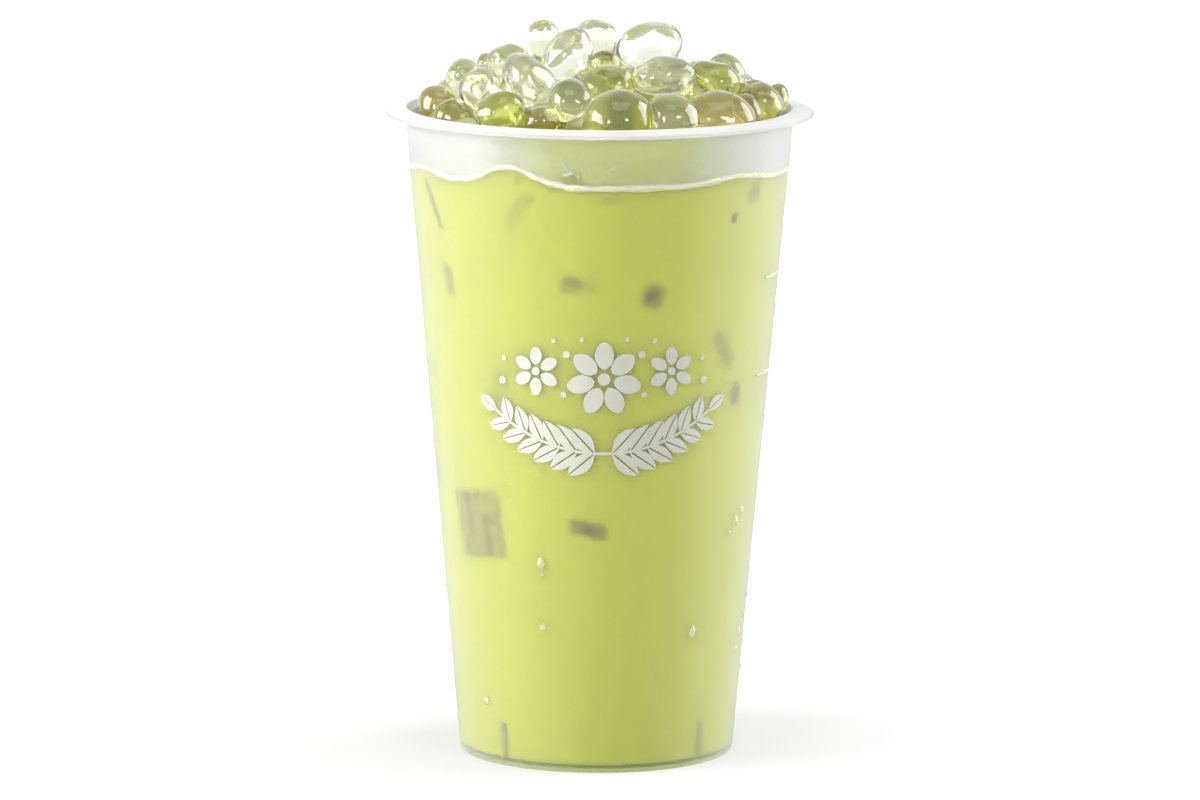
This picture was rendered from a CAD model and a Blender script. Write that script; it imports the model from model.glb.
# %% [markdown]
# # A cup of honeydew milk tea with jelly pearls
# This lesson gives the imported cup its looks. The frame holds three solids: the
# frosted cup, the drink and the heap of pearls. The cup keeps its own mesh and gets
# a frosted finish. The drink and the heap are replaced by pieces that Blender models:
# a drink that reaches into the wall, with ice showing through it and a rim of foam,
# and eighty separate jelly pearls over a low green core.

import math
import random

import bpy
from mathutils import Matrix, Vector


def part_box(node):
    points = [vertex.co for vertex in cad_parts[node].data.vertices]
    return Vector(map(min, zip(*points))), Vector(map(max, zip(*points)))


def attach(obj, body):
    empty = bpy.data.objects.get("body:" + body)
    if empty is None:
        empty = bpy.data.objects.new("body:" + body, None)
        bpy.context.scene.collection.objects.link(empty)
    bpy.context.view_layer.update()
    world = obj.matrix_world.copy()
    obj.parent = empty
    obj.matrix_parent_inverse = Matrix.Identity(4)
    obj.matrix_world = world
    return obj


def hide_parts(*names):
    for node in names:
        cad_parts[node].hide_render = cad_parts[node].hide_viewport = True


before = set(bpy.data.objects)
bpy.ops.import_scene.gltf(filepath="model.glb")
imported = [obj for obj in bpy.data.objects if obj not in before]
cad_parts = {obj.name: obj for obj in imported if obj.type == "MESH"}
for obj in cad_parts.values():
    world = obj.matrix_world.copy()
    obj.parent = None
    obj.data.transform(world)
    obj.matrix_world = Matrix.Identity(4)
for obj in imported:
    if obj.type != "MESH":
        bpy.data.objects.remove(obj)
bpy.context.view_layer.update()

# %% [markdown]
# ## Sizes of the cup
# Blender works in metres. Small things are easier to read in millimetres, so the
# tables below are in millimetres and MM turns them into metres. The wall is a plain
# cone, so two radii and the height of the lip give its radius at any level.

# %% Sizes of the cup
MM = 0.001
LIP_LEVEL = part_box("cup")[1].z
TEA_LOW, TEA_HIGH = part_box("milk_tea")
WALL_AT_TABLE = 30.5 * MM
WALL_AT_LIP = 43.2 * MM
WALL = 0.8 * MM
SMOOTH_ANGLE = math.radians(40)  # sharper edges than this stay sharp
NEAR = 0.01 * MM  # points closer than this count as one
TAPER = (WALL_AT_LIP - WALL_AT_TABLE) / LIP_LEVEL


def outside(level):
    """Radius of the wall's outside at a level."""
    return WALL_AT_TABLE + TAPER * level


def inside(level):
    """Radius of the wall's inside at a level."""
    return outside(level) - WALL


def on_wall(azimuth, level, proud=0.0):
    """A point on the wall's outside: azimuth in degrees from the front to the right."""
    turn = math.radians(azimuth)
    radius = outside(level) + proud
    return Vector((radius * math.sin(turn), -radius * math.cos(turn), level))


print("lip", round(LIP_LEVEL, 4), "drink", round(TEA_HIGH.z, 4))

# %% [markdown]
# ## Camera
# The cup is looked at from the front, a little from above, through a long lens from
# far off, which keeps its sides nearly straight. The small roll tilts the picture by
# a third of a degree.

# %% Camera
CAMERA_PLACE = Vector((0.45, -1700.0, 353.5)) * MM
CAMERA_PITCH = math.radians(9.19)
CAMERA_ROLL = math.radians(0.31)
CAMERA_LENS = 231.75

bpy.ops.object.select_all(action="DESELECT")
bpy.ops.object.camera_add(location=CAMERA_PLACE)
camera = bpy.context.object
camera.name = "front_camera"
camera.data.lens = CAMERA_LENS
camera.data.sensor_width = 36
camera.data.clip_end = 20
aim = Matrix.Rotation(math.pi / 2 - CAMERA_PITCH, 4, "X")
camera.matrix_world = (
    Matrix.Translation(CAMERA_PLACE) @ aim @ Matrix.Rotation(CAMERA_ROLL, 4, "Z")
)
bpy.context.scene.camera = camera
bpy.context.scene.view_settings.view_transform = "Standard"
print("camera lens", camera.data.lens, "mm")

# %% [markdown]
# ## Light
# Two large soft boxes stand left and right of the cup and give nearly all the light.
# The left one is a little in front of the cup and the right one behind it, so the
# front stays free of glare. A third one stands high in front, where the wall doesn't
# mirror it. Two small windows only put crisp highlights on the wet pearls. A plain
# white world fills in: camera, gloss and glass rays see it at full white, and diffuse
# light comes from a weaker one.

# %% Light
SOFT_BOXES = {
    "left_box": ((-1.26, -0.30, 0.42), (0.9, 1.0), 25.5),
    "right_box": ((1.20, 0.32, 0.45), (1.0, 1.5), 21.5),
    "high_box": ((0.05, -0.40, 1.30), (0.8, 0.6), 2.0),
    "window_left": ((-0.62, -0.95, 0.42), (0.22, 0.30), 2.4),
    "window_right": ((0.62, -0.95, 0.62), (0.30, 0.22), 2.4),
}
CUP_MIDDLE = Vector((0, 0, 0.08))
WORLD_FILL = 0.15

for name, (place, (width, height), power) in SOFT_BOXES.items():
    bpy.ops.object.light_add(type="AREA", location=place)
    lamp = bpy.context.object
    lamp.name = name
    lamp.data.shape = "RECTANGLE"
    lamp.data.size = width
    lamp.data.size_y = height
    lamp.data.energy = power
    lamp.rotation_euler = (CUP_MIDDLE - lamp.location).to_track_quat("-Z", "Y").to_euler()

world = bpy.data.worlds.new("white_room")
bpy.context.scene.world = world
world.use_nodes = True
room = world.node_tree.nodes
room_links = world.node_tree.links
background = room["Background"]
background.inputs["Color"].default_value = (1, 1, 1, 1)


def seen_directly(tree):
    """A value of 1 for camera, gloss and glass rays and 0 for diffuse light."""
    nodes, links = tree.nodes, tree.links
    path = nodes.new("ShaderNodeLightPath")
    seen = path.outputs["Is Camera Ray"]
    for ray in ("Is Glossy Ray", "Is Transmission Ray"):
        larger = nodes.new("ShaderNodeMath")
        larger.operation = "MAXIMUM"
        links.new(seen, larger.inputs[0])
        links.new(path.outputs[ray], larger.inputs[1])
        seen = larger.outputs[0]
    return seen


strength = room.new("ShaderNodeMapRange")
strength.inputs["To Min"].default_value = WORLD_FILL
strength.inputs["To Max"].default_value = 1.0
room_links.new(seen_directly(world.node_tree), strength.inputs["Value"])
room_links.new(strength.outputs["Result"], background.inputs["Strength"])
print("lamps:", ", ".join(SOFT_BOXES))

# %% [markdown]
# ## Helpers for modelling
# Every piece is made the same way: a primitive is added, shaped, and finished with
# modifiers. Then its place goes into its mesh, it gets its name and its finish, and
# it rides on the cup. These helpers keep each of those steps to one line.

# %% Helpers for modelling


def take(*pieces):
    """Select just these pieces, the last one active."""
    bpy.ops.object.select_all(action="DESELECT")
    for piece in pieces:
        piece.select_set(True)
    bpy.context.view_layer.objects.active = pieces[-1]


def apply_modifiers(piece):
    """Apply a piece's modifiers in their order."""
    take(piece)
    for modifier in list(piece.modifiers):
        bpy.ops.object.modifier_apply(modifier=modifier.name)


def settle(piece):
    """Put a piece's place, turn and scale into its mesh."""
    take(piece)
    bpy.ops.object.transform_apply(location=True, rotation=True, scale=True)


def join(pieces):
    """Join pieces into the last one."""
    take(*pieces)
    bpy.ops.object.join()
    return bpy.context.object


def finish_piece(piece, name, material):
    """Name a piece, give it its finish and let it ride on the cup."""
    piece.name = name
    piece.data.name = name
    piece.data.materials.clear()
    piece.data.materials.append(material)
    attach(piece, "root")
    faces = sum(len(face.vertices) - 2 for face in piece.data.polygons)
    print(f"{name}: {faces} triangles")
    return piece


# %% [markdown]
# ## Helpers for finishes
# A material starts as one Principled shader. Its plain values go straight on the
# shader, and only what changes over the surface comes in through nodes.

# %% Helpers for finishes


def new_finish(name, **values):
    """A material with one Principled shader and plain values on its sockets."""
    material = bpy.data.materials.new(name)
    material.use_nodes = True
    shader = material.node_tree.nodes["Principled BSDF"]
    for socket, value in values.items():
        shader.inputs[socket.replace("_", " ")].default_value = value
    return material, material.node_tree, shader


def add(tree, kind, **values):
    """Add a node. A value for an input socket is given by the socket's name."""
    node = tree.nodes.new(kind)
    for key, value in values.items():
        if hasattr(node, key):
            setattr(node, key, value)
        else:
            node.inputs[key.replace("_", " ")].default_value = value
    return node


def mixed(tree, first, second):
    """A mix of two colours."""
    return add(tree, "ShaderNodeMix", data_type="RGBA", A=first, B=second)


def ranged(tree, source=(0, 1), target=(0, 1), kind="LINEAR"):
    """A value taken from one range to another."""
    node = add(tree, "ShaderNodeMapRange", interpolation_type=kind)
    names = ("From Min", "From Max", "To Min", "To Max")
    for name, value in zip(names, (*source, *target)):
        node.inputs[name].default_value = value
    return node


def link(tree, *pairs):
    """Link each pair of an output and an input."""
    for source, target in pairs:
        tree.links.new(source, target)


def rgb(red, green, blue):
    """A colour as picked from a screen, 0 to 255, turned into linear light."""
    linear = []
    for channel in (red, green, blue):
        share = channel / 255
        low = share <= 0.04045
        linear.append(share / 12.92 if low else ((share + 0.055) / 1.055) ** 2.4)
    return (*linear, 1.0)


# %% [markdown]
# ## Shared effect: soft lumps
# Jelly, ice and frosted plastic are never quite even. One node group makes slow,
# soft lumps from the piece's own coordinates, as a mask and as a bent normal, and
# each finish places it with its own size and depth.

# %% Shared effect: soft lumps
lumps = bpy.data.node_groups.new("soft_lumps", "ShaderNodeTree")
for socket, kind, value in (
    ("Size", "NodeSocketFloat", 4.0),
    ("Depth", "NodeSocketFloat", 0.1),
):
    made = lumps.interface.new_socket(socket, in_out="INPUT", socket_type=kind)
    made.default_value = value
lumps.interface.new_socket("Mask", in_out="OUTPUT", socket_type="NodeSocketFloat")
lumps.interface.new_socket("Normal", in_out="OUTPUT", socket_type="NodeSocketVector")
lumps_in = add(lumps, "NodeGroupInput")
lumps_out = add(lumps, "NodeGroupOutput")
lumps_place = add(lumps, "ShaderNodeTexCoord")
lumps_scale = add(lumps, "ShaderNodeMath", operation="DIVIDE")
lumps_scale.inputs[0].default_value = 1 / MM
lumps_noise = add(lumps, "ShaderNodeTexNoise", Detail=2.0, Roughness=0.45)
lumps_bump = add(lumps, "ShaderNodeBump", Distance=MM)
lumps.links.new(lumps_in.outputs["Size"], lumps_scale.inputs[1])
lumps.links.new(lumps_scale.outputs[0], lumps_noise.inputs["Scale"])
lumps.links.new(lumps_place.outputs["Object"], lumps_noise.inputs["Vector"])
lumps.links.new(lumps_noise.outputs["Fac"], lumps_bump.inputs["Height"])
lumps.links.new(lumps_in.outputs["Depth"], lumps_bump.inputs["Strength"])
lumps.links.new(lumps_noise.outputs["Fac"], lumps_out.inputs["Mask"])
lumps.links.new(lumps_bump.outputs["Normal"], lumps_out.inputs["Normal"])


def place_lumps(tree, size, depth):
    """Place the soft lumps in a finish: size in millimetres, depth as a share."""
    node = add(tree, "ShaderNodeGroup", node_tree=lumps, Size=size, Depth=depth)
    return node


print("group:", lumps.name)

# %% [markdown]
# ## Shared effect: place on the wall
# The drink and the mist need to know where on the wall they are. One node group turns
# the piece's own coordinates into the arc along the wall and the level, in
# millimetres, and into the azimuth, in degrees from the front to the right.

# %% Shared effect: place on the wall
MIDDLE_RADIUS = outside(LIP_LEVEL / 2) / MM

spot = bpy.data.node_groups.new("wall_place", "ShaderNodeTree")
spot.interface.new_socket("Wall", in_out="OUTPUT", socket_type="NodeSocketVector")
spot.interface.new_socket("Azimuth", in_out="OUTPUT", socket_type="NodeSocketFloat")
spot_out = add(spot, "NodeGroupOutput")
spot_place = add(spot, "ShaderNodeTexCoord")
spot_split = add(spot, "ShaderNodeSeparateXYZ")
spot_front = add(spot, "ShaderNodeMath", operation="MULTIPLY")
spot_front.inputs[1].default_value = -1.0
spot_turn = add(spot, "ShaderNodeMath", operation="ARCTAN2")
spot_arc = add(spot, "ShaderNodeMath", operation="MULTIPLY")
spot_arc.inputs[1].default_value = MIDDLE_RADIUS
spot_high = add(spot, "ShaderNodeMath", operation="DIVIDE")
spot_high.inputs[1].default_value = MM
spot_wall = add(spot, "ShaderNodeCombineXYZ")
spot_degrees = add(spot, "ShaderNodeMath", operation="DEGREES")
link(
    spot,
    (spot_place.outputs["Object"], spot_split.inputs[0]),
    (spot_split.outputs["X"], spot_turn.inputs[0]),
    (spot_split.outputs["Y"], spot_front.inputs[0]),
    (spot_front.outputs[0], spot_turn.inputs[1]),
    (spot_turn.outputs[0], spot_arc.inputs[0]),
    (spot_arc.outputs[0], spot_wall.inputs["X"]),
    (spot_split.outputs["Z"], spot_high.inputs[0]),
    (spot_high.outputs[0], spot_wall.inputs["Y"]),
    (spot_wall.outputs[0], spot_out.inputs["Wall"]),
    (spot_turn.outputs[0], spot_degrees.inputs[0]),
    (spot_degrees.outputs[0], spot_out.inputs["Azimuth"]),
)
print("group:", spot.name)

# %% [markdown]
# ## Frosted cup
# The cup's solid is right as it is: flange, lip, ribs and marks. It gets a frosted
# plastic: light goes through, but every ray is scattered a little, so the pearls and
# ice behind it blur. Sheen gives the pale bloom that such plastic shows towards its
# sides. The foot ring is polished by its mould and takes some green from the drink, so
# roughness and colour change with the level there.

# %% Frosted cup
FOOT_LEVEL = 1.6 * MM
FOOT_ROUGHNESS = 0.12
WALL_ROUGHNESS = 0.36

frosted, frosted_tree, frosted_shader = new_finish(
    "frosted_plastic",
    Transmission_Weight=0.97,
    IOR=1.37,
    Sheen_Weight=1.0,
    Sheen_Roughness=0.66,
)
frosted_lumps = place_lumps(frosted_tree, 9.0, 0.05)
frosted_place = add(frosted_tree, "ShaderNodeTexCoord")
frosted_split = add(frosted_tree, "ShaderNodeSeparateXYZ")
frosted_foot = ranged(frosted_tree, (FOOT_LEVEL - 0.3 * MM, FOOT_LEVEL + 0.4 * MM))
frosted_rough = ranged(frosted_tree, target=(FOOT_ROUGHNESS, WALL_ROUGHNESS))
frosted_mix = mixed(frosted_tree, rgb(204, 218, 134), rgb(252, 253, 251))
link(
    frosted_tree,
    (frosted_place.outputs["Object"], frosted_split.inputs[0]),
    (frosted_split.outputs["Z"], frosted_foot.inputs["Value"]),
    (frosted_foot.outputs["Result"], frosted_rough.inputs["Value"]),
    (frosted_rough.outputs["Result"], frosted_shader.inputs["Roughness"]),
    (frosted_foot.outputs["Result"], frosted_mix.inputs["Factor"]),
    (frosted_mix.outputs["Result"], frosted_shader.inputs["Base Color"]),
    (frosted_lumps.outputs["Normal"], frosted_shader.inputs["Normal"]),
)
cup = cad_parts["cup"]
if not cup.material_slots:
    cup.data.materials.append(frosted)
for material_slot in cup.material_slots:
    material_slot.material = frosted
print("cup finish:", frosted.name)

# %% [markdown]
# ## Milk tea
# A drink meets its cup with no air between, so the new piece reaches a little way
# into the wall. It starts as a cone, gets a rounded bottom edge, and its top edge
# climbs the wall in soft waves, as a drink does beside the pearls.

# %% Milk tea
INTO_WALL = 0.15 * MM
TEA_LEVEL = TEA_HIGH.z - 0.3 * MM
TEA_BOTTOM = TEA_LOW.z - 0.1 * MM
TEA_CORNER = 0.5 * MM
TEA_SIDES = 160
TEA_BANK = 14.0 * MM
TEA_INSETS = (5, 5, 10)  # rings of the top face, in millimetres
# Waves of the top edge: azimuth and half width in degrees, height in millimetres.
TEA_WAVES = [(-28, 11, 4.2), (-66, 12, 1.4), (47, 13, 1.4), (118, 20, 2.4), (-150, 16, 2.0)]


def edge_level(azimuth):
    """Level of the drink's top edge at an azimuth."""
    level = TEA_LEVEL
    for middle, width, rise in TEA_WAVES:
        away = (azimuth - middle + 180) % 360 - 180
        level += rise * MM * math.exp(-((away / width) ** 2))
    return level


bpy.ops.object.select_all(action="DESELECT")
bpy.ops.mesh.primitive_cone_add(
    vertices=TEA_SIDES,
    radius1=inside(TEA_BOTTOM) + INTO_WALL,
    radius2=inside(TEA_LEVEL) + INTO_WALL,
    depth=TEA_LEVEL - TEA_BOTTOM,
    location=(0, 0, (TEA_LEVEL + TEA_BOTTOM) / 2),
)
tea = bpy.context.object
settle(tea)
bpy.ops.object.mode_set(mode="EDIT")
bpy.ops.mesh.select_mode(type="EDGE")
bpy.ops.mesh.select_all(action="DESELECT")
bpy.ops.object.mode_set(mode="OBJECT")
for edge in tea.data.edges:
    edge.select = all(tea.data.vertices[v].co.z < TEA_BOTTOM + NEAR for v in edge.vertices)
bpy.ops.object.mode_set(mode="EDIT")
bpy.ops.mesh.bevel(offset=TEA_CORNER, segments=4, profile=0.5)
bpy.ops.mesh.select_all(action="DESELECT")
bpy.ops.mesh.select_mode(type="FACE")
bpy.ops.object.mode_set(mode="OBJECT")
for face in tea.data.polygons:
    face.select = face.normal.z > 0.9
bpy.ops.object.mode_set(mode="EDIT")
for width in TEA_INSETS:
    bpy.ops.mesh.inset(thickness=width * MM, depth=0)
bpy.ops.object.mode_set(mode="OBJECT")
for vertex in tea.data.vertices:
    radius = math.hypot(vertex.co.x, vertex.co.y)
    if vertex.co.z > TEA_LEVEL - NEAR:
        azimuth = math.degrees(math.atan2(vertex.co.x, -vertex.co.y))
        inward = inside(TEA_LEVEL) + INTO_WALL - radius
        rise = (edge_level(azimuth) - TEA_LEVEL) * max(0.0, 1 - inward / TEA_BANK)
        at_wall = inward < 0.1 * MM
        grown = (inside(TEA_LEVEL + rise) + INTO_WALL) / radius if at_wall else 1.0
        vertex.co = (vertex.co.x * grown, vertex.co.y * grown, TEA_LEVEL + rise)
take(tea)
bpy.ops.object.shade_smooth_by_angle(angle=SMOOTH_ANGLE)
print("drink from", round(TEA_BOTTOM, 4), "to", round(TEA_LEVEL, 4))

# %% [markdown]
# ## Ice behind the drink's surface
# Ice cubes float in the drink, and where one lies against the wall only a thin film
# of milk covers it, so a soft darker patch shows. Each patch is a turned rectangle on
# the unrolled wall. One node group makes it from the azimuth and the level of the
# surface, and the finish of the drink places it once for each patch of ice.

# %% Ice behind the drink's surface
patch = bpy.data.node_groups.new("ice_patch", "ShaderNodeTree")
for socket, kind in (
    ("Wall", "NodeSocketVector"),
    ("Place", "NodeSocketVector"),
    ("Half Size", "NodeSocketVector"),
    ("Tilt", "NodeSocketFloat"),
    ("Blur", "NodeSocketFloat"),
    ("Strength", "NodeSocketFloat"),
    ("Before", "NodeSocketFloat"),
):
    patch.interface.new_socket(socket, in_out="INPUT", socket_type=kind)
patch.interface.new_socket("Mask", in_out="OUTPUT", socket_type="NodeSocketFloat")
patch_in = add(patch, "NodeGroupInput")
patch_out = add(patch, "NodeGroupOutput")
patch_from = add(patch, "ShaderNodeVectorMath", operation="SUBTRACT")
patch_turn = add(patch, "ShaderNodeVectorRotate", rotation_type="Z_AXIS")
patch_fold = add(patch, "ShaderNodeVectorMath", operation="ABSOLUTE")
patch_past = add(patch, "ShaderNodeVectorMath", operation="SUBTRACT")
patch_only = add(patch, "ShaderNodeVectorMath", operation="MAXIMUM")
patch_far = add(patch, "ShaderNodeVectorMath", operation="LENGTH")
patch_fade = ranged(patch, target=(1.0, 0.0), kind="SMOOTHSTEP")
patch_weight = add(patch, "ShaderNodeMath", operation="MULTIPLY")
patch_top = add(patch, "ShaderNodeMath", operation="MAXIMUM")
link(
    patch,
    (patch_in.outputs["Wall"], patch_from.inputs[0]),
    (patch_in.outputs["Place"], patch_from.inputs[1]),
    (patch_from.outputs[0], patch_turn.inputs["Vector"]),
    (patch_in.outputs["Tilt"], patch_turn.inputs["Angle"]),
    (patch_turn.outputs[0], patch_fold.inputs[0]),
    (patch_fold.outputs[0], patch_past.inputs[0]),
    (patch_in.outputs["Half Size"], patch_past.inputs[1]),
    (patch_past.outputs[0], patch_only.inputs[0]),
    (patch_only.outputs[0], patch_far.inputs[0]),
    (patch_far.outputs["Value"], patch_fade.inputs["Value"]),
    (patch_in.outputs["Blur"], patch_fade.inputs["From Max"]),
    (patch_fade.outputs["Result"], patch_weight.inputs[0]),
    (patch_in.outputs["Strength"], patch_weight.inputs[1]),
    (patch_weight.outputs[0], patch_top.inputs[0]),
    (patch_in.outputs["Before"], patch_top.inputs[1]),
    (patch_top.outputs[0], patch_out.inputs["Mask"]),
)

# Azimuth (degrees), level, half width, half height (mm), tilt (degrees), blur (mm),
# strength of each patch.
ICE_PATCHES = [
    (-48.5, 54.4, 6.6, 6.6, -7, 2.2, 0.7),
    (-60.5, 57.0, 0.5, 4.0, -13, 1.0, 0.6),
    (-52.6, 55.4, 0.3, 5.0, -9, 1.8, 1.0),
    (-44.0, 52.0, 0.4, 3.6, -8, 2.0, 1.0),
    (-3.3, 55.3, 3.0, 0.4, 12, 2.6, 1.0),
    (-8.6, 110.2, 0.4, 0.3, 10, 3.1, 0.9),
    (-5.0, 110.0, 2.0, 0.2, 4, 2.2, 0.45),
    (17.6, 107.4, 0.5, 0.8, 14, 3.3, 1.0),
    (46.0, 94.0, 0.4, 3.6, -26, 2.8, 0.6),
    (53.6, 83.4, 0.5, 1.2, -16, 2.5, 1.0),
    (-35.2, 86.5, 0.6, 2.6, 0, 3.0, 0.35),
    (-55.5, 108.7, 0.5, 2.4, -8, 1.8, 0.7),
    (-62.0, 125.0, 0.25, 4.8, -29, 1.3, 0.8),
    (-27.0, 124.6, 0.4, 3.0, 28, 2.4, 0.3),
    (-72.0, 87.3, 0.5, 1.2, 0, 1.4, 0.6),
    (-80.0, 64.5, 0.8, 2.4, 0, 1.6, 0.6),
    (55.7, 128.4, 0.7, 1.4, 10, 1.6, 0.8),
    (46.3, 123.5, 0.5, 0.8, 10, 0.8, 1.0),
    (-25.2, 132.6, 0.5, 0.4, 0, 0.6, 0.6),
    (-21.6, 128.6, 1.0, 0.4, 0, 0.8, 0.6),
    (-32.0, 134.0, 0.3, 0.5, 20, 0.6, 0.5),
    (4.0, 128.8, 1.6, 0.3, 0, 1.0, 0.4),
    (20.0, 122.8, 0.3, 0.2, 0, 0.7, 0.4),
    (130, 60.0, 6.0, 6.4, 14, 2.4, 0.42),
    (170, 96.0, 3.4, 1.0, -24, 2.4, 0.9),
    (-140, 78.0, 1.2, 4.6, 12, 2.4, 0.7),
    (-165, 40.0, 4.4, 3.0, 30, 2.2, 0.42),
    (105, 105.0, 1.0, 2.2, -15, 2.4, 0.8),
    (-118, 112.0, 1.2, 1.0, 0, 2.4, 0.9),
]
print(len(ICE_PATCHES), "patches of ice")

# %% [markdown]
# ## Finish of the milk tea
# Milk tea is opaque but soft: light enters it and comes out a few millimetres off.
# Subsurface scattering gives that. The drink touches the wall, so it has no gloss of
# its own there. Its colour drifts slowly between two greens. The patches of ice mix in
# a dark green at their edges and a brown olive at their heart.

# %% Finish of the milk tea
milky, milky_tree, milky_shader = new_finish(
    "milk_tea",
    Roughness=0.4,
    IOR=1.34,
    Specular_IOR_Level=0.0,
    Subsurface_Weight=1.0,
    Subsurface_Radius=(1.0, 1.0, 0.3),
    Subsurface_Scale=0.008,
)
milky_spot = add(milky_tree, "ShaderNodeGroup", node_tree=spot)

ice_mask = None
for azimuth, level, half_width, half_height, tilt, blur, weight in ICE_PATCHES:
    node = add(milky_tree, "ShaderNodeGroup", node_tree=patch)
    arc = math.radians(azimuth) * MIDDLE_RADIUS
    node.inputs["Place"].default_value = (arc, level, 0)
    node.inputs["Half Size"].default_value = (half_width, half_height, 0)
    node.inputs["Tilt"].default_value = math.radians(tilt)
    node.inputs["Blur"].default_value = blur
    node.inputs["Strength"].default_value = weight
    milky_tree.links.new(milky_spot.outputs["Wall"], node.inputs["Wall"])
    if ice_mask:
        milky_tree.links.new(ice_mask, node.inputs["Before"])
    ice_mask = node.outputs["Mask"]

TEA_GREEN = rgb(196, 202, 0)
TEA_PALE = rgb(203, 208, 20)
ICE_EDGE = rgb(120, 130, 10)
ICE_HEART = rgb(124, 112, 0)
milky_drift = place_lumps(milky_tree, 30.0, 0.0)
milky_mix = mixed(milky_tree, TEA_GREEN, TEA_PALE)
ice_mottle = place_lumps(milky_tree, 2.4, 0.0)
ice_range = ranged(milky_tree, (0.3, 0.7), (0.6, 1.0))
ice_share = add(milky_tree, "ShaderNodeMath", operation="MULTIPLY")
ice_mix = add(milky_tree, "ShaderNodeMix", data_type="RGBA")
ice_deep = ranged(milky_tree, (0.3, 0.9), kind="SMOOTHSTEP")
ice_tone = mixed(milky_tree, ICE_EDGE, ICE_HEART)
link(
    milky_tree,
    (milky_drift.outputs["Mask"], milky_mix.inputs["Factor"]),
    (milky_mix.outputs["Result"], ice_mix.inputs["A"]),
    (ice_mottle.outputs["Mask"], ice_range.inputs["Value"]),
    (ice_range.outputs["Result"], ice_share.inputs[0]),
    (ice_mask, ice_share.inputs[1]),
    (ice_share.outputs[0], ice_mix.inputs["Factor"]),
    (ice_mask, ice_deep.inputs["Value"]),
    (ice_deep.outputs["Result"], ice_tone.inputs["Factor"]),
    (ice_tone.outputs["Result"], ice_mix.inputs["B"]),
    (ice_mix.outputs["Result"], milky_shader.inputs["Base Color"]),
)
print("drink's finish:", milky.name)

# %% [markdown]
# ## Ribs of the foot
# The four ribs inside the foot push the drink back from the wall, and each shows as a
# thin line of a deeper green. A narrow bar on the drink's surface stands for it. The
# bar is a cube whose corners are laid on the wall.

# %% Ribs of the foot
RIB_AZIMUTHS = (48.4, -41.6, 138.4, -131.6)
RIB_LEVEL = 5.9 * MM
RIB_HEIGHT = 8.0 * MM
RIB_SWEEP = 2.0  # degrees
RIB_DEPTH = 0.5 * MM
RIB_THICK = 0.3 * MM

rib_green = new_finish("rib_green", Base_Color=rgb(147, 158, 0), Roughness=0.5)[0]
ribs = []
for azimuth in RIB_AZIMUTHS:
    bpy.ops.object.select_all(action="DESELECT")
    bpy.ops.mesh.primitive_cube_add(size=1.0)
    rib = bpy.context.object
    for vertex in rib.data.vertices:
        x, y, z = vertex.co
        depth = RIB_DEPTH + y * RIB_THICK
        vertex.co = on_wall(azimuth + x * RIB_SWEEP, RIB_LEVEL + z * RIB_HEIGHT, -depth)
    ribs.append(rib)
finish_piece(join(ribs), "rib_lines", rib_green)

# %% [markdown]
# ## Foam line
# Where the drink meets the wall it leaves a thin line of white foam. The drink's own
# top edge is copied off, made a curve and given a round section, so that the line
# follows every wave of the edge.

# %% Foam line
FOAM_RADIUS = 0.75 * MM
FOAM_RISE = 0.3 * MM
FROTH_SIZE = 2.4 * MM
FROTH_DEPTH = 0.8 * MM

foam_white, foam_tree, foam_shader = new_finish(
    "foam",
    Base_Color=rgb(241, 245, 212),
    Roughness=0.5,
    Subsurface_Weight=0.6,
    Subsurface_Radius=(1, 1, 0.8),
    Subsurface_Scale=0.001,
)
foam_lumps = place_lumps(foam_tree, 0.8, 0.4)
foam_tree.links.new(foam_lumps.outputs["Normal"], foam_shader.inputs["Normal"])

take(tea)
bpy.ops.object.mode_set(mode="EDIT")
bpy.ops.mesh.select_mode(type="EDGE")
bpy.ops.mesh.select_all(action="DESELECT")
bpy.ops.object.mode_set(mode="OBJECT")
for edge in tea.data.edges:
    ends = [tea.data.vertices[v].co for v in edge.vertices]
    rims = [math.hypot(end.x, end.y) > inside(end.z) + 0.5 * INTO_WALL for end in ends]
    edge.select = all(rims) and min(end.z for end in ends) > TEA_LEVEL - NEAR
bpy.ops.object.mode_set(mode="EDIT")
bpy.ops.mesh.duplicate()
bpy.ops.mesh.separate(type="SELECTED")
bpy.ops.object.mode_set(mode="OBJECT")
foam = [piece for piece in bpy.context.selected_objects if piece != tea][0]
foam.location.z = FOAM_RISE
settle(foam)
bpy.ops.object.convert(target="CURVE")
foam = bpy.context.object
foam.data.bevel_depth = FOAM_RADIUS
foam.data.bevel_resolution = 2
bpy.ops.object.convert(target="MESH")
foam = bpy.context.object
foam_froth = bpy.data.textures.new("froth", "CLOUDS")
foam_froth.noise_scale = FROTH_SIZE
foam_uneven = foam.modifiers.new("Froth", "DISPLACE")
foam_uneven.texture = foam_froth
foam_uneven.texture_coords = "GLOBAL"
foam_uneven.strength = FROTH_DEPTH
foam_uneven.mid_level = 0.5
apply_modifiers(foam)
bpy.ops.object.shade_smooth()
finish_piece(foam, "foam_line", foam_white)

tea = finish_piece(tea, "tea_fill", milky)
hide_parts("milk_tea")

# %% [markdown]
# ## Bubbles
# Small bubbles cling to the wall along the foam and above it. One ball is modelled and
# copied. Most lie at the foam line, a swarm sits in front above it, and a few are
# strewn round the back.

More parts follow.
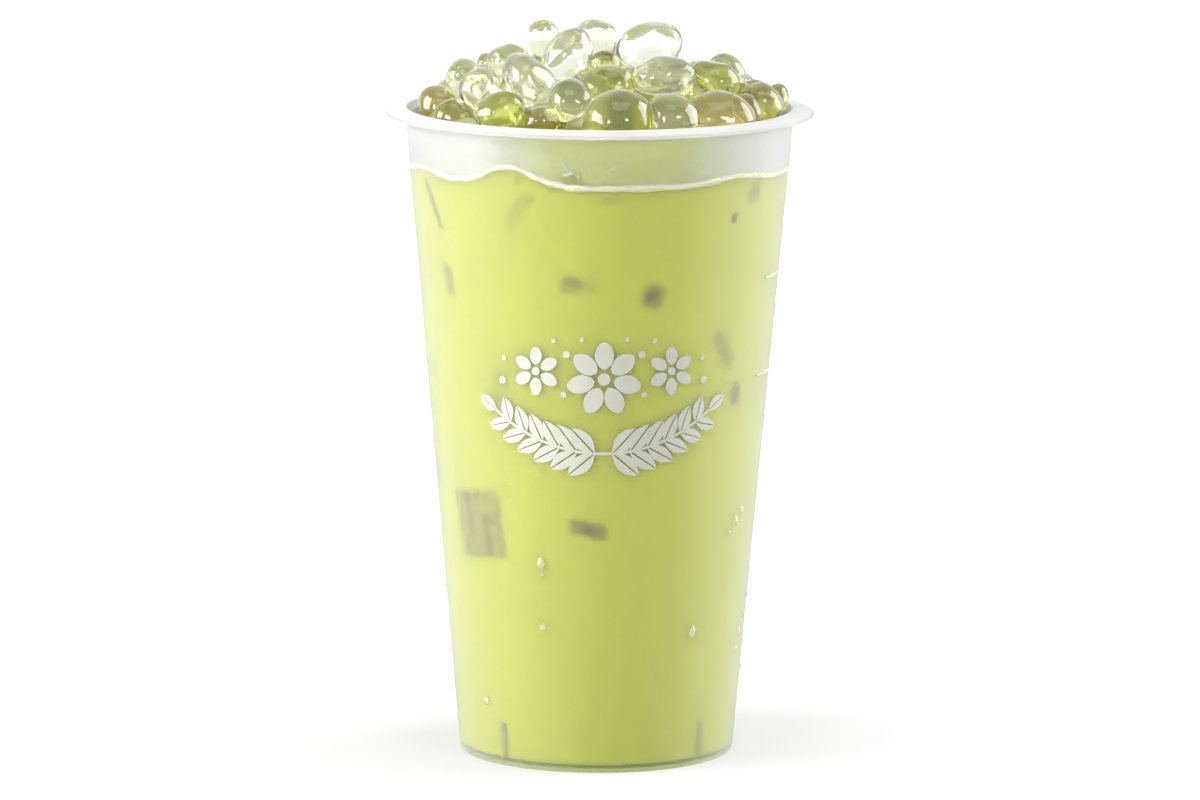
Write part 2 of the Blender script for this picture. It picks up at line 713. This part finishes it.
# %% Bubbles
BUBBLE_DEPTH = 0.42 * MM
BUBBLE_FLAT = 0.3 * MM
BUBBLES = [
    # how many, middle and spread of the azimuth (degrees), lowest and highest above
    # the edge of the drink, smallest and largest radius (mm)
    (120, 0, 180, -0.4, 1.2, 0.15, 0.4),
    (60, -14, 22, 0.8, 7.5, 0.16, 0.38),
    (24, 32, 18, 0.8, 6.0, 0.16, 0.34),
    (60, 180, 120, 0.8, 6.5, 0.14, 0.3),
]
BIG_BUBBLES = [
    # azimuth, above the edge, width, height (mm)
    (-9.8, 3.0, 1.3, 0.9),
    (-8.2, 3.5, 1.8, 1.0),
    (-6.4, 2.8, 1.1, 0.8),
    (-13.0, 3.0, 0.6, 0.5),
    (-5.0, 4.4, 0.5, 0.5),
    (18.0, 5.6, 0.5, 0.5),
    (60.0, 1.4, 0.6, 0.5),
    (-44.0, 1.2, 0.7, 0.5),
]
bpy.ops.object.select_all(action="DESELECT")
bpy.ops.mesh.primitive_uv_sphere_add(segments=8, ring_count=5, radius=1.0)
first_bubble = bpy.context.object


def copy_ball(ball, place, size):
    """A copy of a ball at a place, with half sizes across, deep and high."""
    take(ball)
    bpy.ops.object.duplicate()
    copied = bpy.context.object
    copied.location = place
    copied.scale = size
    copied.rotation_euler = (0, 0, math.atan2(place.x, -place.y))
    settle(copied)
    return copied


def flat_bubble(ball, azimuth, above, width, height):
    """A copy of a ball, flat in the wall, in millimetres above the drink's edge."""
    place = on_wall(azimuth, edge_level(azimuth) + above * MM, -BUBBLE_DEPTH)
    return copy_ball(ball, place, (width / 2 * MM, BUBBLE_FLAT, height / 2 * MM))


swarm = random.Random(5)
bubbles = []
for count, middle, spread, low, high, small, large in BUBBLES:
    for _ in range(count):
        azimuth = middle + swarm.uniform(-spread, spread)
        above = swarm.uniform(low, high)
        across = 2 * swarm.uniform(small, large)
        bubbles.append(flat_bubble(first_bubble, azimuth, above, across, across))
for row in BIG_BUBBLES:
    bubbles.append(flat_bubble(first_bubble, *row))
bpy.data.objects.remove(first_bubble, do_unlink=True)
bubbles = join(bubbles)
bpy.ops.object.shade_smooth()
finish_piece(bubbles, "bubbles", foam_white)

# %% [markdown]
# ## Bubbles of tea
# Two larger bubbles sit on the foam line in front. They are filled with tea and so
# are darker than the foam.

# %% Bubbles of tea
tea_film = new_finish("tea_film", Base_Color=rgb(150, 156, 0), Roughness=0.3)[0]
TEA_BUBBLES = [
    # azimuth, above the edge, width, height (mm)
    (-8.6, 1.9, 3.4, 2.2),
    (-5.8, 1.7, 1.8, 1.5),
]
bpy.ops.object.select_all(action="DESELECT")
bpy.ops.mesh.primitive_uv_sphere_add(segments=24, ring_count=12, radius=1.0)
first_tea_bubble = bpy.context.object
tea_bubbles = [flat_bubble(first_tea_bubble, *row) for row in TEA_BUBBLES]
bpy.data.objects.remove(first_tea_bubble, do_unlink=True)
tea_bubbles = join(tea_bubbles)
bpy.ops.object.shade_smooth()
finish_piece(tea_bubbles, "tea_bubbles", tea_film)

# %% [markdown]
# ## Mist inside the wall
# Above the drink the cold wall is misted white, thickly at the sides and round the
# back. In front a thinner film of tea has run down it, and the pearls stay in sight. A
# thin shell just inside the wall carries both. Its colour and opacity follow the
# azimuth, broken up by soft lumps.

# %% Mist inside the wall
MIST_TOP = 142.6 * MM
MIST_GAP = 0.12 * MM
MIST_THICK = 0.06 * MM


def haze(name, middle, clear, full, thin, thick, size):
    """A film that grows whiter and thicker with the azimuth away from its middle."""
    material, tree, shader = new_finish(
        name,
        Roughness=0.6,
        Sheen_Weight=0.5,
        Sheen_Roughness=0.6,
    )
    place = add(tree, "ShaderNodeGroup", node_tree=spot)
    aside = add(tree, "ShaderNodeMath", operation="SUBTRACT")
    aside.inputs[1].default_value = middle
    away = add(tree, "ShaderNodeMath", operation="ABSOLUTE")
    grown = ranged(tree, (clear, full), kind="SMOOTHSTEP")
    cover = ranged(tree, target=(thin, thick))
    tone = mixed(tree, rgb(224, 230, 44), rgb(234, 235, 230))
    clouds = place_lumps(tree, size, 0.0)
    broken = ranged(tree, (0.3, 0.6), (0.72, 1.1))
    opacity = add(tree, "ShaderNodeMath", operation="MULTIPLY")
    link(
        tree,
        (place.outputs["Azimuth"], aside.inputs[0]),
        (aside.outputs[0], away.inputs[0]),
        (away.outputs[0], grown.inputs["Value"]),
        (clouds.outputs["Mask"], broken.inputs["Value"]),
        (grown.outputs["Result"], tone.inputs["Factor"]),
        (tone.outputs["Result"], shader.inputs["Base Color"]),
        (grown.outputs["Result"], cover.inputs["Value"]),
        (cover.outputs["Result"], opacity.inputs[0]),
        (broken.outputs["Result"], opacity.inputs[1]),
        (opacity.outputs[0], shader.inputs["Alpha"]),
    )
    return material


misty = haze("mist", middle=6, clear=14, full=47, thin=0.55, thick=0.64, size=6.0)

bpy.ops.object.select_all(action="DESELECT")
bpy.ops.mesh.primitive_cone_add(
    vertices=TEA_SIDES,
    radius1=inside(TEA_LEVEL) - MIST_GAP,
    radius2=inside(MIST_TOP) - MIST_GAP,
    depth=MIST_TOP - TEA_LEVEL,
    end_fill_type="NOTHING",
    location=(0, 0, (MIST_TOP + TEA_LEVEL) / 2),
)
mist = bpy.context.object
settle(mist)
for vertex in mist.data.vertices:
    if vertex.co.z < TEA_LEVEL + NEAR:
        azimuth = math.degrees(math.atan2(vertex.co.x, -vertex.co.y))
        level = edge_level(azimuth)
        grown = (inside(level) - MIST_GAP) / math.hypot(vertex.co.x, vertex.co.y)
        vertex.co = (vertex.co.x * grown, vertex.co.y * grown, level)
mist_shell = mist.modifiers.new("Shell", "SOLIDIFY")
mist_shell.thickness = MIST_THICK
apply_modifiers(mist)
bpy.ops.object.shade_smooth_by_angle(angle=SMOOTH_ANGLE)

finish_piece(mist, "mist_inside", misty)

# %% [markdown]
# ## Printed garland
# A white print sits on the front of the wall. It is drawn flat, in millimetres along
# the wall and up it, from a few leaf shapes and dots, and then wrapped on the cone. A
# thin shell gives the ink its thickness. Flowers and leaves are plain, common motifs.

# %% Printed garland
PRINT_AZIMUTH = 2.0
PRINT_LEVEL = 83.0 * MM
INK = 0.1 * MM
GARLAND_HALF = 25.0
GARLAND_LOW = -10.5
GARLAND_BOW = 8.5
STEM_WIDTH = 0.62
FLOWERS = [
    # place across and up, petals, size
    (0, 6.2, 7, 1.25),
    (-15.2, 7.6, 6, 0.82),
    (15.2, 7.6, 6, 0.82),
]
# Place and size of the dots on the right; each has a twin on the left.
DOTS = [
    (8.3, 11.6, 0.8),
    (23.4, 5.0, 0.8),
    (23.0, 10.0, 0.55),
    (8.9, 2.6, 0.6),
    (11.2, 14.6, 0.5),
    (5.0, 15.0, 0.5),
]


def flat_leaf(length, width, fullness, gap=0.0):
    """A leaf from the origin along X, in millimetres, with a bare midrib if gap."""
    bpy.ops.object.select_all(action="DESELECT")
    halves = []
    for side in (1, -1):
        bpy.ops.mesh.primitive_grid_add(x_subdivisions=12, y_subdivisions=2, size=1)
        half = bpy.context.object
        for vertex in half.data.vertices:
            along = vertex.co.x + 0.5
            edge = width / 2 * math.sin(math.pi * along) ** fullness
            out = gap / 2 + max(edge - gap / 2, 0) * (vertex.co.y + 0.5)
            vertex.co = (along * length * MM, side * out * MM, 0)
        if side < 0:
            take(half)
            bpy.ops.object.mode_set(mode="EDIT")
            bpy.ops.mesh.select_all(action="SELECT")
            bpy.ops.mesh.flip_normals()
            bpy.ops.object.mode_set(mode="OBJECT")
        halves.append(half)
    leaf = join(halves)
    bpy.ops.object.mode_set(mode="EDIT")
    bpy.ops.mesh.select_all(action="SELECT")
    bpy.ops.mesh.remove_doubles(threshold=NEAR)
    bpy.ops.object.mode_set(mode="OBJECT")
    return leaf


def copy_flat(shape, x, y, turn, size=1.0):
    """A copy of a flat shape, placed in millimetres and turned in degrees."""
    take(shape)
    bpy.ops.object.duplicate()
    copied = bpy.context.object
    copied.location = (x * MM, y * MM, 0)
    copied.rotation_euler = (0, 0, math.radians(turn))
    copied.scale = (size, size, 1)
    settle(copied)
    return copied


def garland_line(share):
    """The stem of the garland: a shallow bow from -1 at the left to 1 at the right."""
    return GARLAND_HALF * share, GARLAND_LOW + GARLAND_BOW * share * share


def garland_slope(share):
    """The slope of the garland's stem in degrees."""
    return math.degrees(math.atan2(2 * GARLAND_BOW * share, GARLAND_HALF))


leaf_shape = flat_leaf(7.6, 3.9, 0.8, gap=0.34)
petal_shape = flat_leaf(5.0, 3.3, 0.55)
bpy.ops.object.select_all(action="DESELECT")
bpy.ops.mesh.primitive_circle_add(vertices=20, radius=MM, fill_type="TRIFAN")
dot_shape = bpy.context.object

print_parts = []
for side in (1, -1):
    for step in range(6):
        share = side * (0.08 + 0.155 * step)
        x, y = garland_line(share)
        along = garland_slope(share) + (0 if side > 0 else 180)
        size = 1.0 - 0.05 * step
        print_parts.append(copy_flat(leaf_shape, x, y, along + 44, size))
        print_parts.append(copy_flat(leaf_shape, x, y, along - 44, size))
    x, y = garland_line(side)
    end = garland_slope(side) + (0 if side > 0 else 180)
    print_parts.append(copy_flat(leaf_shape, x, y, end, 0.72))
for x, y, petals, size in FLOWERS:
    for number in range(petals):
        turn = 90 + 360 * number / petals
        away = 1.7 * size
        px = x + away * math.cos(math.radians(turn))
        py = y + away * math.sin(math.radians(turn))
        print_parts.append(copy_flat(petal_shape, px, py, turn, size))
    print_parts.append(copy_flat(dot_shape, x, y, 0, 1.1 * size))
for x, y, size in DOTS:
    for side in (-1, 1):
        print_parts.append(copy_flat(dot_shape, side * x, y, 0, size))

bpy.ops.object.select_all(action="DESELECT")
bpy.ops.mesh.primitive_grid_add(x_subdivisions=80, y_subdivisions=1, size=1)
stem = bpy.context.object
for vertex in stem.data.vertices:
    share = vertex.co.x * 2
    x, y = garland_line(share)
    vertex.co = (x * MM, (y + vertex.co.y * STEM_WIDTH) * MM, 0)
print_parts.append(stem)
for shape in (leaf_shape, petal_shape, dot_shape):
    bpy.data.objects.remove(shape, do_unlink=True)


def wrap_on_wall(piece, azimuth, middle, proud):
    """Lay a flat piece on the wall round an azimuth and a level, then thicken it."""
    for vertex in piece.data.vertices:
        level = middle + vertex.co.y
        turn = azimuth + math.degrees(vertex.co.x / outside(level))
        vertex.co = on_wall(turn, level, proud)
    ink = piece.modifiers.new("Ink", "SOLIDIFY")
    ink.thickness = 2 * INK
    ink.offset = -1
    apply_modifiers(piece)
    return piece


ink_white, ink_tree, ink_shader = new_finish("white_ink", Roughness=0.42, IOR=1.45)
ink_lumps = place_lumps(ink_tree, 3.0, 0.08)
ink_mix = mixed(ink_tree, rgb(226, 227, 210), rgb(237, 237, 224))
link(
    ink_tree,
    (ink_lumps.outputs["Mask"], ink_mix.inputs["Factor"]),
    (ink_mix.outputs["Result"], ink_shader.inputs["Base Color"]),
    (ink_lumps.outputs["Normal"], ink_shader.inputs["Normal"]),
)
garland = wrap_on_wall(join(print_parts), PRINT_AZIMUTH, PRINT_LEVEL, INK)
finish_piece(garland, "printed_garland", ink_white)

# %% [markdown]
# ## Fill marks
# The two raised marks at the right catch a whiter line along their crest, where the
# mould polished them. A thin strip on each crest shows it.

# %% Fill marks
MARK_RELIEF = 0.2 * MM
MARK_AZIMUTH = 75.0
MARK_SWEEP = 17.0
MARK_WIDTH = 0.55 * MM
MARK_LIFT = 0.02 * MM
MARK_LEVELS = (86.7 * MM, 108.6 * MM)
marks = []
for level in MARK_LEVELS:
    bpy.ops.object.select_all(action="DESELECT")
    bpy.ops.mesh.primitive_grid_add(x_subdivisions=16, y_subdivisions=1, size=1)
    strip = bpy.context.object
    sweep = math.radians(MARK_SWEEP) * outside(level)
    for vertex in strip.data.vertices:
        vertex.co = (vertex.co.x * sweep, vertex.co.y * MARK_WIDTH, 0)
    marks.append(wrap_on_wall(strip, MARK_AZIMUTH, level, MARK_RELIEF + MARK_LIFT))
marks = join(marks)
finish_piece(marks, "mark_crests", ink_white)

# %% [markdown]
# ## Drops on the wall
# A few drops of condensed water hang on the outside. Each is a ball pressed flat on
# the wall and drawn out downwards, so it is thin at its top and full at its foot.

# %% Drops on the wall
DROPS = [
    # azimuth (degrees), level, width, height (mm)
    (-20.8, 47.4, 1.5, 2.3),
    (-20.2, 44.9, 0.6, 0.8),
    (-20.7, 32.9, 1.1, 1.3),
    (-23.0, 34.2, 0.5, 0.6),
    (39.2, 31.1, 1.5, 2.2),
    (-49.7, 14.3, 1.3, 1.6),
    (59.6, 54.6, 1.2, 2.0),
    (64.0, 56.6, 0.9, 1.3),
    (56.0, 52.2, 0.7, 0.9),
    (72.6, 28.1, 1.1, 1.8),
    (70.0, 24.6, 0.8, 1.1),
    (75.0, 31.6, 0.7, 1.0),
    (80.0, 36.0, 0.9, 1.2),
    (110, 70.0, 1.4, 2.1),
    (140, 41.0, 1.2, 1.7),
    (165, 58.0, 1.5, 2.4),
    (-170, 88.0, 1.0, 1.4),
    (-150, 30.0, 1.3, 1.9),
    (-120, 52.0, 1.4, 2.2),
    (-95, 36.0, 1.1, 1.5),
    (-100, 90.0, 1.0, 1.4),
    (95, 18.0, 1.1, 1.5),
]
DROP_THICKNESS = 0.6 * MM
DROP_SWELL = 1.3

water, water_tree, water_shader = new_finish(
    "clear_water",
    Base_Color=rgb(252, 253, 246),
    Transmission_Weight=0.9,
    Roughness=0.0,
    IOR=1.33,
    Coat_Weight=1.0,
    Coat_Roughness=0.02,
    Coat_IOR=1.6,
)
water_lumps = place_lumps(water_tree, 1.0, 0.05)
water_tree.links.new(water_lumps.outputs["Normal"], water_shader.inputs["Normal"])
bpy.ops.object.select_all(action="DESELECT")
bpy.ops.mesh.primitive_uv_sphere_add(segments=24, ring_count=14, radius=1.0)
first_drop = bpy.context.object
for vertex in first_drop.data.vertices:
    slim = 1.0 - 0.3 * max(vertex.co.z, 0.0)
    vertex.co = (vertex.co.x * slim, vertex.co.y * (slim - 0.15 * vertex.co.z), vertex.co.z)
drops = []
for azimuth, level, width, height in DROPS:
    size = (width * DROP_SWELL / 2 * MM, DROP_THICKNESS, height * DROP_SWELL / 2 * MM)
    drops.append(copy_ball(first_drop, on_wall(azimuth, level * MM), size))
bpy.data.objects.remove(first_drop, do_unlink=True)
drops = join(drops)
bpy.ops.object.shade_smooth()
finish_piece(drops, "water_drops", water)

# %% [markdown]
# ## Jelly pearls
# Each pearl is a soft, slightly lumpy ball of clear jelly. One helper adds a ball at
# its place and size, tilts it, and dents it with a clouds texture read in world
# coordinates, so that no two pearls get the same dents.

# %% Jelly pearls
DENT_SIZE = 7.0 * MM
DENT_DEPTH = 1.5 * MM

dents = bpy.data.textures.new("pearl_dents", "CLOUDS")
dents.noise_scale = DENT_SIZE
dents.noise_depth = 1


def make_pearl(place, size, tilt, detail, tint):
    """One pearl: place and size in millimetres, tilt in degrees, and its colour."""
    bpy.ops.object.select_all(action="DESELECT")
    bpy.ops.mesh.primitive_ico_sphere_add(subdivisions=detail, radius=0.5)
    pearl = bpy.context.object
    pearl.scale = Vector(size) * MM
    pearl.rotation_euler = (0, -math.radians(tilt), 0)
    pearl.location = Vector(place) * MM
    settle(pearl)
    dent = pearl.modifiers.new("Dents", "DISPLACE")
    dent.texture = dents
    dent.texture_coords = "GLOBAL"
    dent.strength = DENT_DEPTH
    dent.mid_level = 0.5
    apply_modifiers(pearl)
    bpy.ops.geometry.color_attribute_add(name="tint", domain="POINT", color=tint)
    return pearl


TINTS = {
    "clear": rgb(251, 251, 242),
    "pale": rgb(245, 246, 220),
    "grey": rgb(228, 231, 186),
    "green": rgb(214, 219, 112),
    "olive": rgb(208, 204, 92),
    "beige": rgb(251, 236, 184),
    "brown": rgb(200, 182, 62),
}

# The pearls that show from the front: place, width and height (mm), tilt (degrees)
# and colour.
CROWN = {
    "top_left": (-12.3, 3, 159, 8.2, 8.8, 0, "pale"),
    "top_middle": (-1.2, 4, 158.8, 10.8, 9.6, 10, "pale"),
    "top_right": (10.9, -4, 158.4, 14.8, 11.2, 12, "clear"),
    "leaning": (-7.4, -9, 156.8, 13.4, 9.8, 50, "clear"),
    "dark_middle": (1.1, -3, 153.9, 6.9, 6.5, 0, "green"),
    "left_back": (-20, -2, 154.2, 10, 8.4, 0, "grey"),
    "left_back_small": (-25, 4, 153.2, 4.9, 5.3, 0, "grey"),
    "left_high": (-30, -4, 150.8, 7.8, 9.3, 10, "grey"),
    "left_front": (-26.1, -14, 149.8, 9.6, 9.6, 0, "clear"),
    "long_left": (-15.2, -20, 152, 14.5, 10, -52, "clear"),
    "front_small": (-6.1, -29, 148.6, 11.8, 10.2, -65, "pale"),
    "middle": (1.4, -19, 151.1, 12.2, 9.8, 12, "green"),
    "right_front": (14, -16, 153.1, 14.2, 9, 5, "pale"),
    "right_high": (25.3, -11, 151.7, 11, 8.6, -15, "green"),
    "right_back": (28.2, 1, 152.2, 8.4, 7.6, -40, "grey"),
    "rim_middle": (4.2, -32, 144.8, 16.4, 14.2, 0, "green"),
    "rim_right": (15.4, -30, 144.8, 13, 11.8, 0, "pale"),
    "rim_beige": (26.2, -22.5, 144.4, 17, 13, -6, "beige"),
    "rim_beige_back": (32, -15, 144.6, 7.6, 9, 0, "olive"),
    "rim_far_right": (35.4, -8, 145.8, 10.4, 9.8, -10, "olive"),
    "rim_last_right": (38.8, 1.6, 145.4, 5.7, 8.5, -20, "olive"),
    "rim_far_left": (-35.5, -3, 144.8, 8.8, 9.6, 45, "brown"),
    "rim_left": (-32.1, -14.5, 143.7, 9.6, 7.8, 10, "olive"),
    "rim_left_front": (-21.6, -26, 146.2, 11.4, 9.2, 10, "green"),
    "rim_dark": (-12.6, -28.5, 144.2, 8.6, 7.4, 0, "brown"),
    "dark_right": (31.5, -1, 146.3, 7, 7, 0, "olive"),
}
crown_pearls = []
for x, y, z, width, height, tilt, tint in CROWN.values():
    deep = (width + height) / 2
    size = (width, deep, height)
    crown_pearls.append(make_pearl((x, y, z), size, tilt, 4, TINTS[tint]))
print(len(crown_pearls), "pearls show from the front")

# %% [markdown]
# ## Pearls behind and below
# The rest of the heap only shows from behind, through the frosted wall or through
# the clear pearls in front. These pearls lie in rings: one that stands on the drink
# along the wall, one at the rim round the back, and smaller ones that fill the middle.

# %% Pearls behind and below
HEAP_RINGS = [
    # level, radius, first and last azimuth, step (degrees), size, clear or cloudy
    (138.8, 35.8, 0, 359, 18.9, 11.2, "cloudy"),
    (144.6, 35.2, 98, 268, 19.0, 11.2, "clear"),
    (147.6, 24.5, 66, 290, 25.0, 11.0, "clear"),
    (143.0, 24.0, -60, 60, 28.0, 11.0, "cloudy"),
    (150.6, 13.5, 70, 300, 46.0, 10.6, "clear"),
    (145.5, 12.5, 0, 359, 55.0, 11.0, "cloudy"),
]
RING_TINTS = {
    "clear": ("clear", "pale", "pale", "grey", "green"),
    "cloudy": ("pale", "grey", "green", "green"),
}
chance = random.Random(11)
under_pearls = []
for level, radius, first, last, step, across, kind in HEAP_RINGS:
    detail = 4 if kind == "clear" else 3
    azimuth = first
    while azimuth < last:
        turn = math.radians(azimuth + chance.uniform(-2, 2))
        away = radius - chance.uniform(0, 1.2)
        high = level + chance.uniform(-0.6, 0.6)
        place = (away * math.sin(turn), -away * math.cos(turn), high)
        size = [across * chance.uniform(0.86, 1.08) for _ in range(3)]
        tint = TINTS[chance.choice(RING_TINTS[kind])]
        pearl = make_pearl(place, size, chance.uniform(-60, 60), detail, tint)
        (crown_pearls if kind == "clear" else under_pearls).append(pearl)
        azimuth += step
print(len(crown_pearls), "clear pearls and", len(under_pearls), "cloudy ones below")

# %% [markdown]
# ## Finish of the pearls
# Clear jelly is glass that bends light about as water does, with a wet coat. Each
# pearl brings its own colour as an attribute: those on top are rinsed clear, those
# near the drink are stained green or beige. Soft lumps thin the colour out in places
# and dimple the surface, which breaks the highlights up. The pearls below are
# cloudier, so the light isn't lost between so many balls of glass.

# %% Finish of the pearls


def jelly_finish(name, thinned, dimple, **values):
    """A jelly with each pearl's own colour, thinned out towards another in places."""
    material, tree, shader = new_finish(name, **values)
    tint = add(tree, "ShaderNodeVertexColor", layer_name="tint")
    clouds = place_lumps(tree, 4.0, 0.0)
    share = ranged(tree, (0.4, 0.75), (0, 0.4))
    mix = add(tree, "ShaderNodeMix", data_type="RGBA", B=thinned)
    dimples = place_lumps(tree, 2.2, dimple)
    link(
        tree,
        (clouds.outputs["Mask"], share.inputs["Value"]),
        (share.outputs["Result"], mix.inputs["Factor"]),
        (tint.outputs["Color"], mix.inputs["A"]),
        (mix.outputs["Result"], shader.inputs["Base Color"]),
        (dimples.outputs["Normal"], shader.inputs["Normal"]),
    )
    return material


clear_jelly = jelly_finish(
    "clear_jelly",
    rgb(252, 252, 240),
    0.2,
    Transmission_Weight=0.95,
    Roughness=0.02,
    IOR=1.36,
    Sheen_Weight=0.7,
    Sheen_Roughness=0.3,
    Coat_Weight=1.0,
    Coat_Roughness=0.03,
    Coat_IOR=1.52,
)
cloudy_jelly = jelly_finish(
    "cloudy_jelly",
    rgb(244, 245, 176),
    0.1,
    Transmission_Weight=0.55,
    Roughness=0.15,
    IOR=1.25,
    Coat_Weight=1.0,
    Coat_Roughness=0.03,
)

for name, pearls, finish in (
    ("pearls_crown", crown_pearls, clear_jelly),
    ("pearls_under", under_pearls, cloudy_jelly),
):
    group = join(pearls)
    bpy.ops.object.shade_smooth()
    finish_piece(group, name, finish)

# %% [markdown]
# ## Core of the heap
# Deep in the heap no single pearl can be made out: drink fills the gaps between them.
# A low drum with a broad round shoulder and a lumpy skin stands for that part. It
# shows through the misted wall as a soft green, and it stands in for the heap's solid,
# together with the pearls.

# %% Core of the heap
CORE_RADIUS = 40.2 * MM
CORE_HEIGHT = 11.5 * MM
CORE_SHOULDER = 7.5 * MM
CORE_INSETS = (5, 6, 7, 8)  # rings of the top face, in millimetres
CORE_TOP = TEA_LEVEL + CORE_HEIGHT
CORE_DENTS = 1.2 * MM

core_olive, core_tree, core_shader = new_finish(
    "heap_core", Roughness=0.15, IOR=1.34, Subsurface_Weight=0.5, Subsurface_Scale=0.003
)
core_lumps = place_lumps(core_tree, 5.0, 0.3)
core_mix = mixed(core_tree, rgb(172, 177, 50), rgb(196, 200, 100))
link(
    core_tree,
    (core_lumps.outputs["Mask"], core_mix.inputs["Factor"]),
    (core_mix.outputs["Result"], core_shader.inputs["Base Color"]),
    (core_lumps.outputs["Normal"], core_shader.inputs["Normal"]),
)

bpy.ops.object.select_all(action="DESELECT")
bpy.ops.mesh.primitive_cylinder_add(
    vertices=96,
    radius=CORE_RADIUS,
    depth=CORE_HEIGHT,
    location=(0, 0, TEA_LEVEL + CORE_HEIGHT / 2),
)
core = bpy.context.object
settle(core)
for edge in core.data.edges:
    edge.select = all(
        core.data.vertices[v].co.z > CORE_TOP - NEAR for v in edge.vertices
    )
for face in core.data.polygons:
    face.select = face.normal.z > 0.9
bpy.ops.object.mode_set(mode="EDIT")
bpy.ops.mesh.bevel(offset=CORE_SHOULDER, segments=10, profile=0.5)
bpy.ops.mesh.select_all(action="DESELECT")
bpy.ops.mesh.select_mode(type="FACE")
bpy.ops.object.mode_set(mode="OBJECT")
for face in core.data.polygons:
    face.select = face.normal.z > 0.9 and face.center.z > CORE_TOP - NEAR
bpy.ops.object.mode_set(mode="EDIT")
for width in CORE_INSETS:
    bpy.ops.mesh.inset(thickness=width * MM, depth=0)
bpy.ops.object.mode_set(mode="OBJECT")
core_dents = core.modifiers.new("Dents", "DISPLACE")
core_dents.texture = dents
core_dents.texture_coords = "GLOBAL"
core_dents.strength = CORE_DENTS
apply_modifiers(core)
bpy.ops.object.shade_smooth()
finish_piece(core, "pearl_core", core_olive)
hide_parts("pearl_heap")

# %% [markdown]
# ## Floor
# The cup stands on a plain white sweep. The floor takes the cup's shadow from the
# lamps. Light of its own, seen by the camera, gloss and glass alone, lifts it to the
# white of the room, less near the cup, where the shadow should show.

# %% Floor
FLOOR_SIZE = 8.0
FLOOR_LIFT_NEAR = 0.54
FLOOR_LIFT_FAR = 0.95
FLOOR_NEAR, FLOOR_FAR = 0.03, 0.16

bpy.ops.object.select_all(action="DESELECT")
bpy.ops.mesh.primitive_plane_add(size=FLOOR_SIZE, location=(0, 0, 0))
floor = bpy.context.object
floor.name = "floor"
paper, paper_tree, paper_shader = new_finish(
    "white_paper", Base_Color=(0.35, 0.35, 0.35, 1), Roughness=0.9
)
paper_shader.inputs["Emission Color"].default_value = (1, 1, 1, 1)
paper_place = add(paper_tree, "ShaderNodeTexCoord")
paper_away = add(paper_tree, "ShaderNodeVectorMath", operation="LENGTH")
paper_range = ranged(paper_tree, (FLOOR_NEAR, FLOOR_FAR), (FLOOR_LIFT_NEAR, FLOOR_LIFT_FAR))
paper_lift = add(paper_tree, "ShaderNodeMath", operation="MULTIPLY")
link(
    paper_tree,
    (paper_place.outputs["Object"], paper_away.inputs[0]),
    (paper_away.outputs["Value"], paper_range.inputs["Value"]),
    (paper_range.outputs["Result"], paper_lift.inputs[1]),
    (seen_directly(paper_tree), paper_lift.inputs[0]),
    (paper_lift.outputs[0], paper_shader.inputs["Emission Strength"]),
)
floor.data.materials.append(paper)
print("floor:", FLOOR_SIZE, "m across")
